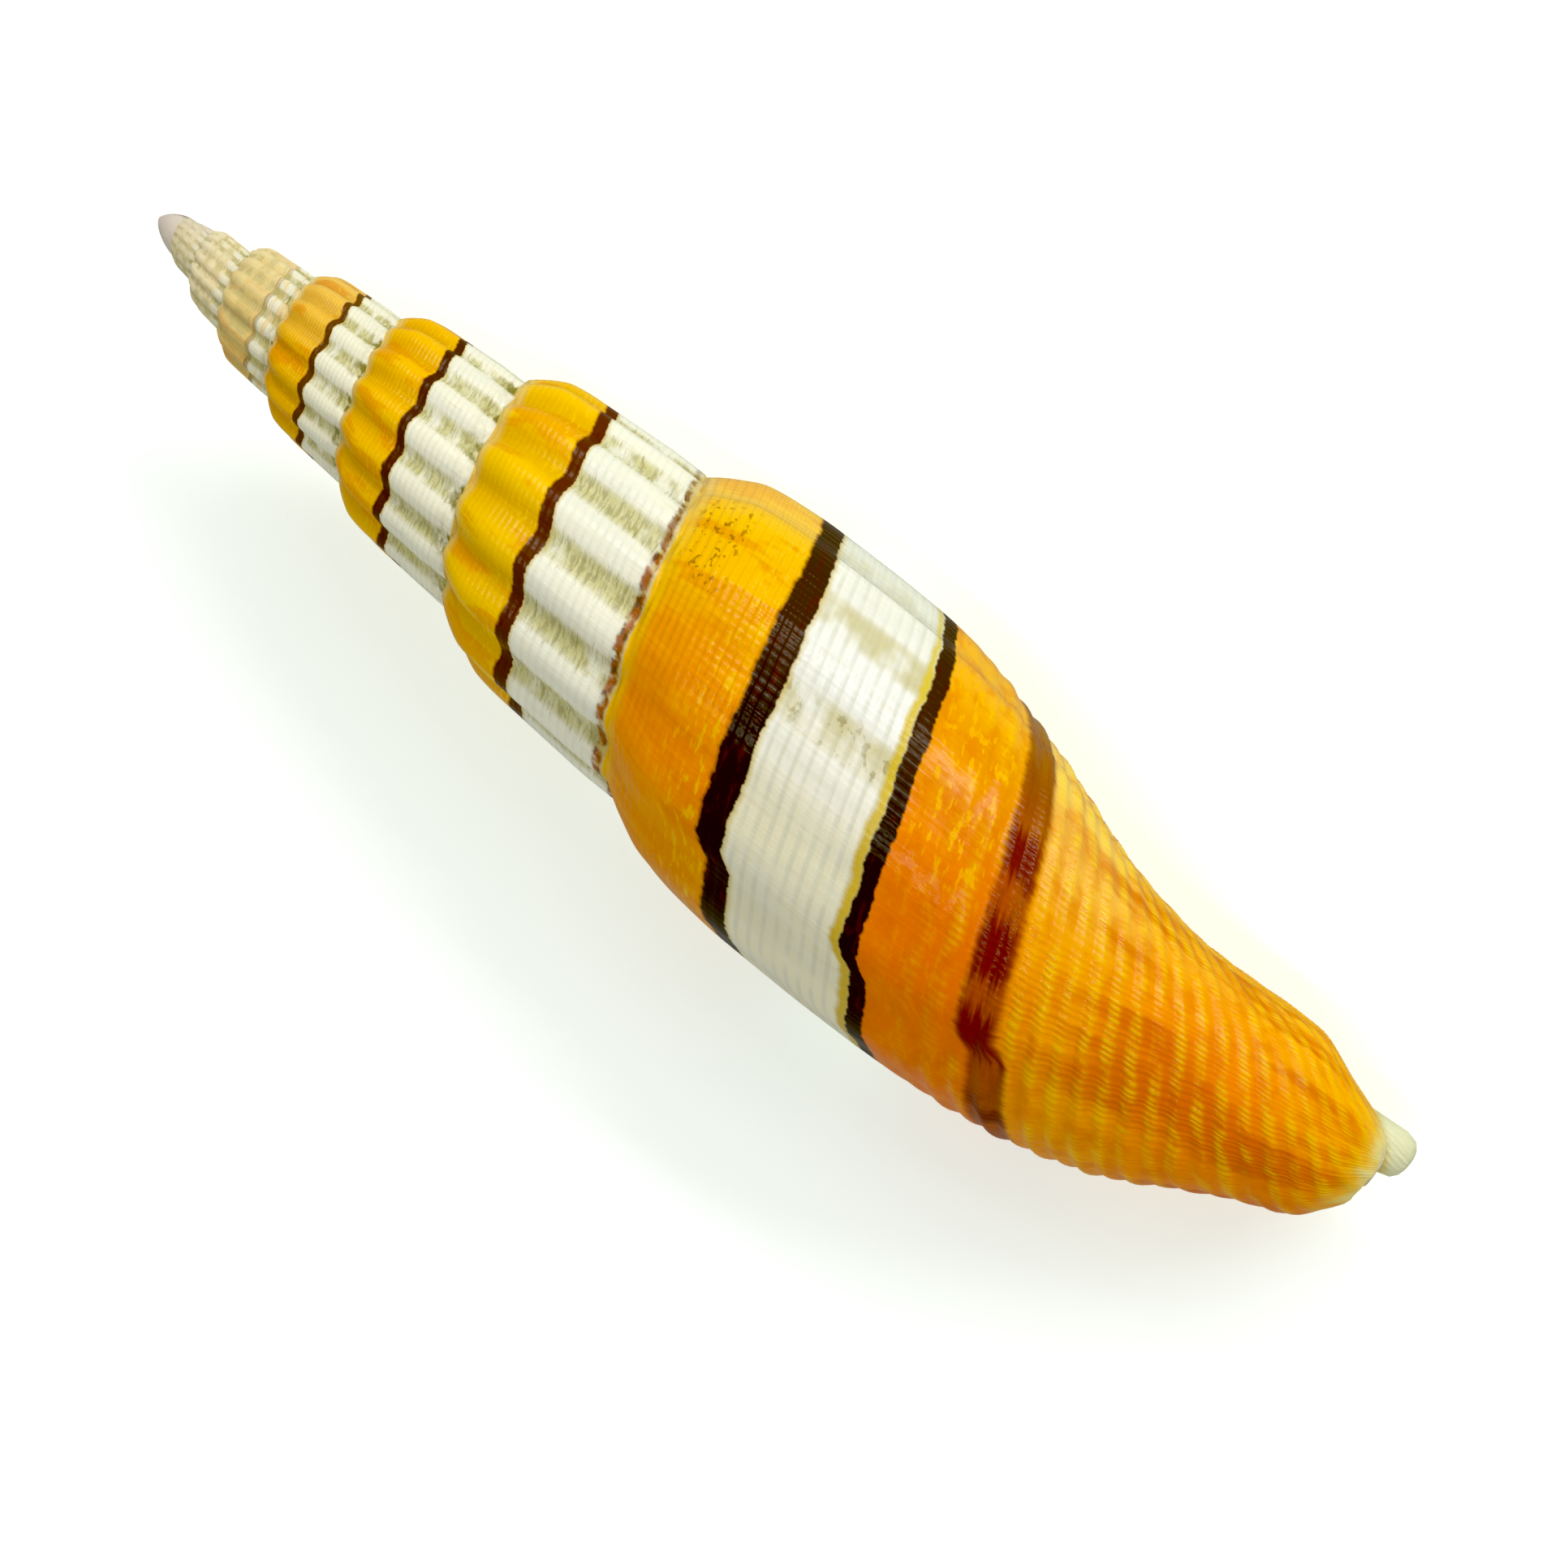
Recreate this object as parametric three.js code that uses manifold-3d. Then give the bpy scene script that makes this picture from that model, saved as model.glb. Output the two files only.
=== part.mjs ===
// A mitre shell: a slender, high-spired sea snail shell with a ribbed spire, a tall smooth body
// whorl, a long narrow aperture and a short open canal at the front end. The empty shell lies on
// its aperture, with its long axis along X and the apex towards -X. Lengths are in millimetres.
//
// The shell is one solid. Its outside is a ribbon, the whorl, wound round the coiling axis: each
// turn starts on the lower edge of the turn before it, and the joint between them is the suture.
// The last turn runs on to the front end and stops at the outer lip. The hollow that the animal
// lived in is a tube wound the same way, which opens at the aperture and the canal.
import * as THREE from "three";
import Module from "manifold-3d";
import { mergeVertices } from "three/addons/utils/BufferGeometryUtils.js";

// Growth. Places on the ribbon are given by turn, which is 0 where the last suture passes the
// right side and a quarter on the back, and by reach, a distance along the axis as a share of
// that of the suture there.
const SUTURE_AT_TURN_0 = 27.75; // along the axis, from the pole of the spiral
const AXIAL_GROWTH = 1.425; // per turn
const RADIAL_GROWTH = 1.342; // per turn
const SUTURE_SWAY = 0.013; // share: on the back the suture runs a little further forward
const FIRST_TURN = -6;
const LIP_TURN = 0.6;
const APEX_X = 2.33;
const APEX_DOME = [[0.62, 0.85], [0.3, 0.6], [0.08, 0.28]]; // share of its length and width
const APEX_BEND = 0.3; // the first whorls lie a little off the axis, to the right
const APEX_BEND_TO = 8;

// Half the width of a whorl at each reach, in millimetres at turn 0. The spire's whorls are
// straight-sided, and the last one swells and then draws in to the base.
const SPIRE_PROFILE = [
  [1, 5.55], [1.02, 6.0], [1.045, 6.42], [1.085, 6.86], [1.14, 7.1], [1.2, 7.2], [1.285, 7.33],
  [1.355, 7.42], [1.425, 7.42], [1.5, 6.95], [1.6, 6.0], [1.7, 5.05],
];
const BODY_PROFILE = [
  [1, 5.55], [1.02, 5.95], [1.045, 6.34], [1.085, 6.82], [1.134, 7.03], [1.2, 7.15], [1.29, 7.16],
  [1.38, 7.1], [1.437, 6.97], [1.5, 6.73], [1.55, 6.42], [1.6, 6.02], [1.65, 5.58], [1.7, 5.05],
  [1.75, 4.5], [1.8, 4.05], [1.85, 3.72], [1.9, 3.48], [1.95, 3.31], [2, 3.31], [2.08, 3.42],
  [2.15, 3.5], [2.2, 3.0], [2.27, 2.0], [2.36, 0.6], [2.6, 0.1],
];
const BODY_FROM = [-0.45, 0]; // turns over which the one becomes the other
const BASE_LEAN = 0.13; // reach per turn: the base draws in later towards the lip
const BASE_LEAN_REACH = [1.35, 1.6];

// The front end narrows to this half width, whatever the whorl would reach, and it lies off the
// axis, to the left. Its rim slants back on the right side.
const FRONT_PROFILE = [
  [50, 9], [56, 6.1], [59.2, 4.12], [60.1, 3.62], [61.3, 3.0], [62, 2.74], [62.8, 2.42],
  [63.6, 1.8], [64.1, 1.3],
];
const FRONT_OFFSET = 0.42;
const FRONT_X = 64.1;
const FRONT_SLANT = 1.4;
const FRONT_BLEND = 0.3;

// The pillar that the whorls are wound round. Its tip bends off the axis, to the right and away
// from the back.
const PILLAR_PROFILE = [
  [0, 0.05], [30, 2.0], [46, 2.1], [56, 1.5], [62, 1.05], [65, 0.95],
];
const PILLAR_BEND_FROM = 48;
const PILLAR_BEND = [1.35, -0.6];
const PILLAR_TIP_X = 64.9;
const PILLAR_TIP_RADIUS = 0.95;
const PILLAR_BLEND = 0.25;
const TIP_SHAPE = [[8, 0.7], [3, 0.94], [0.75, 1], [0.3, 0.86], [0.06, 0.5]]; // back, share of radius

// Ribs along the axis, strong on the spire. On the last turn they fade out and are wider apart.
const RIBS_PER_TURN = 15.7;
const RIBS_LACKING = 4.15; // by turn 0
const RIBS_LACKING_GROWTH = 0.694; // per turn, as a power of e
const RIBS_FROM_TURN_0 = 2.1;
const RIB_HEIGHT = 0.075; // share of the half width
const RIB_HEIGHT_ON_BODY = 0.02;
const RIB_SHARPNESS = 0.7;
const RIB_FADE = [-0.35, 0.2]; // turns
const RIB_START = [-5.8, -5]; // turns: the first whorls are smooth
const RIB_END_REACH = [1.42, 1.6];

// The hollow, with the wall's thickness at turn 0 and the glaze on the turn before.
const WALL = 0.8;
const CALLUS = 0.12;
const LEAST_HOLLOW = 0.04;
const HOLLOW_END_TURN = -4.4;
const PAST_LIP = 0.04; // turns by which it runs out past the lip
const PAST_FRONT = 2;
const HOLLOW_TOP_REACH = 1.06;
const HOLLOW_FLOOR_REACH = 1.78;
const CANAL_TURNS = [-0.12, 0.12]; // past these turns it runs out of the front end, as the canal
const HOLLOW_SHARES = [0.07, 0.18, 0.3, 0.42, 0.54, 0.66, 0.78, 0.9];

// How the shell lies: the turn that faces down, and how far the apex is lifted, in degrees.
const DOWN_TURN = 0.7325;
const APEX_LIFT = 4.1;

// How finely the surfaces are faceted.
const COLUMNS_PER_TURN = 58;
const HOLLOW_COLUMNS_PER_TURN = 16;
const TIP_SIDES = 14;
const SPIRE_REACHES = [1, 1.028, 1.075, 1.15, 1.285, AXIAL_GROWTH];
const BODY_SHARES = [
  0.06, 0.13, 0.2, 0.27, 0.34, 0.42, 0.5, 0.58, 0.66, 0.74, 0.82, 0.885, 0.935, 0.97, 1,
];
const MERGE_DISTANCE = 1e-4;

const clamp = (value) => Math.min(1, Math.max(0, value));
const mix = (a, b, share) => a + (b - a) * share;

function smoothStep([from, to], value) {
  const share = clamp((value - from) / (to - from));
  return share * share * (3 - 2 * share);
}

// A smooth curve through the points of a profile that keeps to their rises and falls.
function along(profile, place) {
  const last = profile.length - 1;
  if (place <= profile[0][0]) return profile[0][1];
  if (place >= profile[last][0]) return profile[last][1];
  let i = 0;
  while (profile[i + 1][0] < place) i++;
  const slope = (n) => (profile[n + 1][1] - profile[n][1]) / (profile[n + 1][0] - profile[n][0]);
  const tangent = (n) => {
    if (n === 0) return slope(0);
    if (n === last) return slope(last - 1);
    const [a, b] = [slope(n - 1), slope(n)];
    return a * b <= 0 ? 0 : (2 * a * b) / (a + b);
  };
  const width = profile[i + 1][0] - profile[i][0];
  const s = (place - profile[i][0]) / width;
  return (
    profile[i][1] * (1 + 2 * s) * (1 - s) ** 2 +
    tangent(i) * width * s * (1 - s) ** 2 +
    profile[i + 1][1] * s * s * (3 - 2 * s) +
    tangent(i + 1) * width * s * s * (s - 1)
  );
}

const smoothMax = (a, b, blend) => (a + b + Math.hypot(a - b, blend)) / 2;
const smoothMin = (a, b, blend) => (a + b - Math.hypot(a - b, blend)) / 2;
// How far towards the right side, and towards the back, a turn points.
const sideways = (turn) => [Math.cos(2 * Math.PI * turn), Math.sin(2 * Math.PI * turn)];
const frontX = (turn) => FRONT_X - FRONT_SLANT * ((1 + sideways(turn)[0]) / 2) ** 2;

// How far forward the ribbon's upper edge, the suture, lies at a turn.
function sutureX(turn) {
  return SUTURE_AT_TURN_0 * AXIAL_GROWTH ** turn * (1 + SUTURE_SWAY * sideways(turn)[1]);
}

// Where the pillar's middle is, off the axis.
function pillarCentre(x) {
  const share = smoothStep([PILLAR_BEND_FROM, PILLAR_TIP_X], x);
  return PILLAR_BEND.map((offset) => offset * share);
}

function ribs(turn, reach) {
  const lacking = RIBS_LACKING * Math.exp(RIBS_LACKING_GROWTH * turn);
  const count = RIBS_PER_TURN * turn - lacking + RIBS_FROM_TURN_0;
  const ridge = (0.5 + 0.5 * Math.cos(2 * Math.PI * count)) ** RIB_SHARPNESS - 0.5;
  const height = mix(RIB_HEIGHT, RIB_HEIGHT_ON_BODY, smoothStep(RIB_FADE, turn));
  return 1 + height * ridge * smoothStep(RIB_START, turn) * (1 - smoothStep(RIB_END_REACH, reach));
}

// Half the width of the ribbon, before the front end narrows it.
function whorlRadius(turn, reach) {
  const lean = BASE_LEAN * turn * smoothStep(BASE_LEAN_REACH, reach);
  const body = along(BODY_PROFILE, reach - lean);
  const spire = along(SPIRE_PROFILE, reach);
  const beforeBody = reach < SPIRE_PROFILE.at(-1)[0] ? 1 - smoothStep(BODY_FROM, turn) : 0;
  return RADIAL_GROWTH ** turn * mix(body, spire, beforeBody) * ribs(turn, reach);
}

// The outside's distance from the pillar's middle, for a turn and a place along the axis.
function outsideRadius(turn, x) {
  const [right, back] = sideways(turn);
  const front = along(FRONT_PROFILE, x) - FRONT_OFFSET * right;
  const [bendRight, bendBack] = pillarCentre(x);
  const outer = smoothMin(whorlRadius(turn, x / sutureX(turn)), front, FRONT_BLEND);
  const fromPillar = outer - (bendRight * right + bendBack * back);
  return smoothMax(fromPillar, along(PILLAR_PROFILE, x), PILLAR_BLEND);
}

function place(turn, x, radius) {
  const [right, back] = sideways(turn);
  const [bendRight, bendBack] = pillarCentre(x);
  const apexBend = APEX_BEND * (1 - smoothStep([APEX_X, APEX_BEND_TO], x));
  return [x, bendRight + apexBend + radius * right, bendBack + radius * back];
}

// A closed surface that is put together from points and rows of points.
class Surface {
  points = [];
  faces = [];
  add(point) {
    return this.points.push(point) - 1;
  }
  triangle(a, b, c) {
    this.faces.push(a, b, c);
  }
  // Joins two rows of the same length.
  strip(one, other) {
    for (let i = 0; i + 1 < one.length; i++) {
      this.triangle(one[i], one[i + 1], other[i + 1]);
      this.triangle(one[i], other[i + 1], other[i]);
    }
  }
  fan(middle, row) {
    for (let i = 0; i + 1 < row.length; i++) this.triangle(middle, row[i], row[i + 1]);
  }
  // Fills the flat space between two rows that share their first and last points.
  fillBetween(one, other) {
    let [i, j] = [0, 0];
    while (i + 1 < one.length || j + 1 < other.length) {
      const nextOne = i + 1 < one.length ? this.points[one[i + 1]][0] : Infinity;
      const nextOther = j + 1 < other.length ? this.points[other[j + 1]][0] : Infinity;
      if (nextOne <= nextOther) {
        if (one[i] !== other[j] && one[i + 1] !== other[j])
          this.triangle(one[i], one[i + 1], other[j]);
        i++;
      } else {
        if (one[i] !== other[j] && one[i] !== other[j + 1])
          this.triangle(one[i], other[j + 1], other[j]);
        j++;
      }
    }
  }
  geometry() {
    const geometry = new THREE.BufferGeometry();
    geometry.setAttribute("position", new THREE.Float32BufferAttribute(this.points.flat(), 3));
    geometry.setIndex(this.faces);
    return geometry;
  }
}

// The outside, closed by a flat face behind the lip.
function outside() {
  const surface = new Surface();
  const turns = COLUMNS_PER_TURN;
  const columns = Math.round((LIP_TURN - FIRST_TURN) * turns);
  const lastTurnStart = columns - turns;
  const sutureRow = SPIRE_REACHES.length - 1;
  const column = [];
  for (let i = 0; i <= columns; i++) {
    const turn = LIP_TURN + (i - columns) / turns;
    const point = (x) => surface.add(place(turn, x, outsideRadius(turn, x)));
    const spireXs = SPIRE_REACHES.slice(1).map((reach) => sutureX(turn) * reach);
    const top = i >= turns ? column[i - turns][sutureRow] : point(sutureX(turn));
    column.push([top, ...spireXs.map(point)]);
    if (i >= lastTurnStart) {
      const bodyXs = BODY_SHARES.map((share) => mix(spireXs.at(-1), frontX(turn), share));
      column[i].push(...bodyXs.map(point));
    }
  }
  for (let i = 0; i < columns; i++) {
    const rows = i < lastTurnStart ? sutureRow + 1 : column[i].length;
    surface.strip(column[i + 1].slice(0, rows), column[i].slice(0, rows));
  }
  const tops = column.slice(0, turns + 1).map((rows) => rows[0]);
  closeApex(surface, [...column[0].slice(1, sutureRow + 1).toReversed(), ...tops]);
  const front = surface.add(place(0, FRONT_X, 0));
  surface.fan(front, column.slice(lastTurnStart).map((rows) => rows.at(-1)));
  const pillar = column[lastTurnStart].slice(sutureRow);
  surface.fillBetween([...pillar, front], [...column[columns], front]);
  return surface.geometry();
}

// The rounded tip of the spire, from the first turn's upper edge inwards.
function closeApex(surface, edge) {
  const tip = place(0, APEX_X, 0);
  let rim = [...edge, edge[0]];
  for (const [length, width] of APEX_DOME) {
    const ring = edge.map((index) => {
      const [x, y, z] = surface.points[index];
      return surface.add([mix(tip[0], x, length), mix(tip[1], y, width), mix(tip[2], z, width)]);
    });
    surface.strip([...ring, ring[0]], rim);
    rim = [...ring, ring[0]];
  }
  surface.fan(surface.add(tip), rim.toReversed());
}

// The hollow, as a closed tube wound back from the lip. Each ring goes from the top down the
// outer side to the floor, and back up the inner side.
function hollow() {
  const surface = new Surface();
  const length = LIP_TURN + PAST_LIP - HOLLOW_END_TURN;
  const count = Math.round(length * HOLLOW_COLUMNS_PER_TURN);
  const ring = (turn) => {
    const wall = WALL * RADIAL_GROWTH ** Math.min(turn, 0);
    const top = sutureX(turn) * HOLLOW_TOP_REACH;
    const base = sutureX(turn) * HOLLOW_FLOOR_REACH;
    const floor = mix(base, FRONT_X + PAST_FRONT, smoothStep(CANAL_TURNS, turn));
    const inner = (x) => outsideRadius(turn - 1, x) + CALLUS;
    const outer = (x) => Math.max(outsideRadius(turn, x) - wall, inner(x) + LEAST_HOLLOW);
    const middle = (x) => (inner(x) + outer(x)) / 2;
    const xs = HOLLOW_SHARES.map((share) => mix(top, floor, share));
    const point = (side) => (x) => surface.add(place(turn, x, side(x)));
    return [
      point(middle)(top),
      ...xs.map(point(outer)),
      point(middle)(floor),
      ...xs.toReversed().map(point(inner)),
    ];
  };
  const rings = [];
  for (let i = 0; i <= count; i++) rings.push(ring(LIP_TURN + PAST_LIP - (length * i) / count));
  const closed = (row) => [...row, row[0]];
  for (let i = 0; i < count; i++) surface.strip(closed(rings[i]), closed(rings[i + 1]));
  closeEnd(surface, rings[0], false);
  closeEnd(surface, rings.at(-1), true);
  return surface.geometry();
}

// Fills the end of the tube, between its outer and its inner side.
function closeEnd(surface, ring, isFarEnd) {
  const half = ring.length / 2;
  const face = (...corners) => surface.triangle(...(isFarEnd ? corners : corners.toReversed()));
  face(ring[0], ring[1], ring.at(-1));
  for (let i = 1; i + 1 < half; i++) {
    face(ring[i], ring[i + 1], ring.at(-i));
    face(ring[i + 1], ring.at(-i - 1), ring.at(-i));
  }
  face(ring[half - 1], ring[half], ring[half + 1]);
}

// The blunt tip of the pillar, past the edge of the canal.
function pillarTip() {
  const surface = new Surface();
  const ring = ([back, share]) => {
    const x = PILLAR_TIP_X - back;
    const row = Array.from({ length: TIP_SIDES }, (_, i) =>
      surface.add(place(i / TIP_SIDES, x, PILLAR_TIP_RADIUS * share)),
    );
    return [...row, row[0]];
  };
  const rings = TIP_SHAPE.map(ring);
  rings.slice(1).forEach((row, i) => surface.strip(rings[i], row));
  surface.fan(surface.add(place(0, PILLAR_TIP_X - TIP_SHAPE[0][0], 0)), rings[0].toReversed());
  surface.fan(surface.add(place(0, PILLAR_TIP_X, 0)), rings.at(-1));
  return surface.geometry();
}

const wasm = await Module();
wasm.setup();

function solid(geometry) {
  const merged = mergeVertices(geometry, MERGE_DISTANCE);
  return new wasm.Manifold(
    new wasm.Mesh({
      numProp: 3,
      vertProperties: merged.attributes.position.array,
      triVerts: new Uint32Array(merged.index.array),
    }),
  );
}

function geometryOf(manifold) {
  const mesh = manifold.getMesh();
  const geometry = new THREE.BufferGeometry();
  geometry.setAttribute("position", new THREE.BufferAttribute(mesh.vertProperties, 3));
  geometry.setIndex(new THREE.BufferAttribute(mesh.triVerts, 1));
  return geometry;
}

// Turns the shell about its axis until the aperture faces down, then lifts the apex, and sets it
// on the ground with the middle of its box over the origin.
function layDown(geometry) {
  const aboutAxis = new THREE.Matrix4().makeRotationX(-Math.PI / 2 - 2 * Math.PI * DOWN_TURN);
  const lift = new THREE.Matrix4().makeRotationY(THREE.MathUtils.degToRad(APEX_LIFT));
  geometry.applyMatrix4(lift.multiply(aboutAxis));
  geometry.computeBoundingBox();
  const { min, max } = geometry.boundingBox;
  geometry.translate(-(min.x + max.x) / 2, -(min.y + max.y) / 2, -min.z);
}

const glazedShell = new THREE.MeshStandardMaterial({ color: 0xe09a24, roughness: 0.3, metalness: 0 });

const shell = new THREE.Mesh(
  geometryOf(solid(outside()).subtract(solid(hollow())).add(solid(pillarTip()))),
  glazedShell,
);
shell.name = "shell";
layDown(shell.geometry);

const mitreShell = new THREE.Group();
mitreShell.add(shell);

export default mitreShell;
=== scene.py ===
"""A mitre shell lying on its aperture on a white table, seen from above.

The shell is worked out in millimetres in the frame of its coil: x runs along the coiling axis
from the apex to the front end, y to the right side and z to the back. A place on the whorl is
given by its turn, which is 0 where the last suture passes the right side, and by its reach, the
distance along the axis as a share of that of the suture there. The finished mesh is laid down
as the solid lies, in metres.
"""
import math

import bpy
import numpy as np
from mathutils import Euler, Matrix, Vector


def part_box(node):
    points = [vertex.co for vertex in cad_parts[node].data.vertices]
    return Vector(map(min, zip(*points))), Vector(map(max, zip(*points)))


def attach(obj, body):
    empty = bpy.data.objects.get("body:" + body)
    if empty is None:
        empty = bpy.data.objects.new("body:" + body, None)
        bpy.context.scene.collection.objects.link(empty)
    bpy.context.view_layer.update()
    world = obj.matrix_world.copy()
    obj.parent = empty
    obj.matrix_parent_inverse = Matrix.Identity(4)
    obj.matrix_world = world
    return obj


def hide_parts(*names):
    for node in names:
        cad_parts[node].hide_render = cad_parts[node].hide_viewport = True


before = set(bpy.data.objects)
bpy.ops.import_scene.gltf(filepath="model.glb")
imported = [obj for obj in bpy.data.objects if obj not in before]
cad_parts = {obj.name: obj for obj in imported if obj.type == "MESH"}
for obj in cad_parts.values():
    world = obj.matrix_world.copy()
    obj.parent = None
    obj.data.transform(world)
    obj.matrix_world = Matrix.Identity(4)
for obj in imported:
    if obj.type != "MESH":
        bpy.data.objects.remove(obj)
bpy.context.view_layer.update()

MM = 0.001

# Growth and the whorl's profiles, as in the solid.
SUTURE_AT_TURN_0 = 27.75
AXIAL_GROWTH = 1.425
RADIAL_GROWTH = 1.342
SUTURE_SWAY = 0.013
FIRST_TURN = -6
LIP_TURN = 0.6
APEX_X = 2.33
APEX_BEND = 0.3
APEX_BEND_TO = 8
APEX_DOME_POWER = 1.5
SPIRE_PROFILE = [
    (1, 5.55), (1.02, 6.0), (1.045, 6.42), (1.085, 6.86), (1.14, 7.1), (1.2, 7.2), (1.285, 7.33),
    (1.355, 7.42), (1.425, 7.42), (1.5, 6.95), (1.6, 6.0), (1.7, 5.05),
]
BODY_PROFILE = [
    (1, 5.55), (1.02, 5.95), (1.045, 6.34), (1.085, 6.82), (1.134, 7.03), (1.2, 7.15), (1.29, 7.16),
    (1.38, 7.1), (1.437, 6.97), (1.5, 6.73), (1.55, 6.42), (1.6, 6.02), (1.65, 5.58), (1.7, 5.05),
    (1.75, 4.5), (1.8, 4.05), (1.85, 3.72), (1.9, 3.48), (1.95, 3.31), (2, 3.31), (2.08, 3.42),
    (2.15, 3.5), (2.2, 3.0), (2.27, 2.0), (2.36, 0.6), (2.6, 0.1),
]
BODY_FROM = (-0.45, 0)
BASE_LEAN = 0.13
BASE_LEAN_REACH = (1.35, 1.6)
FRONT_PROFILE = [
    (50, 9), (56, 6.1), (59.2, 4.12), (60.1, 3.62), (61.3, 3.0), (62, 2.74), (62.8, 2.42),
    (63.6, 1.8), (64.1, 1.3),
]
FRONT_OFFSET = 0.42
FRONT_X = 64.1
FRONT_SLANT = 1.4
FRONT_BLEND = 0.3
PILLAR_PROFILE = [(0, 0.05), (30, 2.0), (46, 2.1), (56, 1.5), (62, 1.05), (65, 0.95)]
PILLAR_BEND_FROM = 48
PILLAR_BEND = (1.35, -0.6)
PILLAR_TIP_X = 64.9
PILLAR_TIP_RADIUS = 0.95
PILLAR_BLEND = 0.25
TIP_SHAPE = [(0, 0), (0.03, 0.36), (0.1, 0.6), (0.3, 0.86), (0.75, 1), (3, 0.94), (8, 0.7)]

# Ribs along the axis.
RIBS_PER_TURN = 15.7
RIBS_LACKING = 4.15
RIBS_LACKING_GROWTH = 0.694
RIBS_FROM_TURN_0 = 2.1
RIB_HEIGHT = 0.075
RIB_HEIGHT_ON_BODY = 0.02
RIB_SHARPNESS = 0.7
RIB_FADE = (-0.35, 0.2)
RIB_START = (-5.8, -5)
RIB_END_REACH = (1.42, 1.6)

# Relief that is too fine for the solid. The suture's edge waves with the ribs, and low cords
# wind round the shell, wider apart towards the base.
SUTURE_WAVE = 0.0045  # share of the distance along the axis
SUTURE_WAVE_ON_BODY = 0.2  # share of that on the spire
SUTURE_WAVE_FADE = 0.05  # reach
CORD_SPACING = [
    (1, 0.012), (1.19, 0.013), (1.21, 0.0186), (1.38, 0.0186), (1.42, 0.036), (1.54, 0.036),
    (1.6, 0.028), (2.6, 0.028),
]
CORD_HEIGHT = 0.02  # share of the half width
SECOND_CORDS = 0.45  # how much lower every other cord is
CORD_FROM_REACH = (1.42, 1.6)
CORD_FROM_TURN = (-0.6, -0.3)

# The ribs swell to knobs on the shoulder.
KNOB_HEIGHT = 0.3  # share of the rib's height
KNOB_REACH = 1.07
KNOB_WIDTH = 0.05

# A pause in growth left a ledge on the last turn, and past it the bands lie further forward.
LEDGE_TURNS = (0.334, 0.352)
LEDGE_DEPTH = 0.006  # share of the half width
LEDGE_SHIFT = 0.019  # reach

# An earlier pause left a beaded ridge, and the surface before it lies a little lower.
RIDGE_TURNS = (0.058, 0.067)
RIDGE_FROM_TURN = -0.12
RIDGE_DEPTH = 0.018  # share of the half width

# Where the first dark line lies at each turn, and how far it moves forward in the grooves.
LINE_REACHES = [(-5, 1.33), (-3.8, 1.29), (-2.8, 1.218), (-1.8, 1.2), (-0.8, 1.182), (0, 1.195)]
LINE_STAIRS = [(-5, 0.012), (-2.8, 0.012), (-1.8, 0.01), (-0.8, 0.008), (0, 0.0)]
LINE_MIDDLE = 1.197

# The hollow.
WALL = 0.8
CALLUS = 0.12
LEAST_HOLLOW = 0.04
HOLLOW_END_TURN = -4.4
PAST_LIP = 0.04
PAST_FRONT = 2
HOLLOW_TOP_REACH = 1.06
HOLLOW_FLOOR_REACH = 1.78
CANAL_TURNS = (-0.12, 0.12)
FOLD_REACHES = (1.24, 1.315, 1.38, 1.435, 1.48)  # the folds on the pillar, in the aperture
FOLD_HEIGHTS = (0.75, 0.65, 0.5, 0.35, 0.22)
FOLD_WIDTH = 0.016

DOWN_TURN = 0.7325
APEX_LIFT = 4.1

# How finely the meshes are divided.
COLUMNS_PER_TURN = 120
LIP_STEPS = (0.0007, 0.0016, 0.003, 0.005)  # turns back from the lip
LIP_ROUNDING = 0.048  # share of the half width
FRONT_ROUNDING = 0.24  # share of the half width
FRONT_ROUNDING_LENGTH = 2.2
APEX_SLIMMING = 0.28  # share of the half width
APEX_SLIM_TO = -3.6  # turn
SHOULDER_SHARE = 0.2
SHOULDER_ROWS = 16
SPIRE_ROWS = 32
BODY_ROWS = 170
DOME_RINGS = 12
HOLLOW_COLUMNS_PER_TURN = 48
HOLLOW_ROWS = 30
TIP_SIDES = 48
SHARP_ANGLE = 48

# Colours, as levels from 0 to 255, at turns or at reaches.
FULL_LIGHT = 1.08  # how bright the light makes a white surface that faces it
ORANGE_ALONG_TURNS = [
    (-6, (246, 234, 190)), (-4.4, (246, 230, 176)), (-3.6, (244, 214, 130)), (-2.95, (246, 200, 96)),
    (-2.75, (248, 188, 40)), (-2, (252, 192, 16)), (-0.5, (255, 206, 24)), (0.08, (255, 202, 40)),
    (0.16, (255, 190, 8)), (0.22, (254, 168, 4)), (0.28, (250, 144, 2)), (0.33, (250, 150, 3)),
    (0.37, (244, 160, 8)), (0.6, (240, 160, 12)),
]
GROOVES_ALONG_TURNS = [
    (-6, (196, 176, 112)), (-3.8, (206, 182, 106)), (-2.6, (212, 150, 20)), (-0.4, (220, 164, 10)),
    (0.6, (232, 140, 4)),
]
CREAM_ALONG_TURNS = [(-6, (242, 230, 190)), (-4.6, (248, 238, 198)), (-3.4, (244, 222, 156))]
RIMS_ALONG_TURNS = [
    (-6, (236, 226, 192)), (-2.9, (238, 228, 172)), (-2.4, (232, 206, 130)), (-1, (232, 208, 130)),
    (0.05, (228, 200, 120)), (0.14, (248, 206, 60)), (0.6, (246, 190, 20)),
]
WHITE_ALONG_TURNS = [
    (-6, (244, 236, 204)), (-3, (250, 246, 216)), (-0.5, (252, 251, 228)), (0.06, (250, 249, 230)),
    (0.16, (253, 253, 244)), (0.22, (253, 251, 236)), (0.28, (248, 242, 208)), (0.6, (246, 240, 212)),
]
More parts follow.
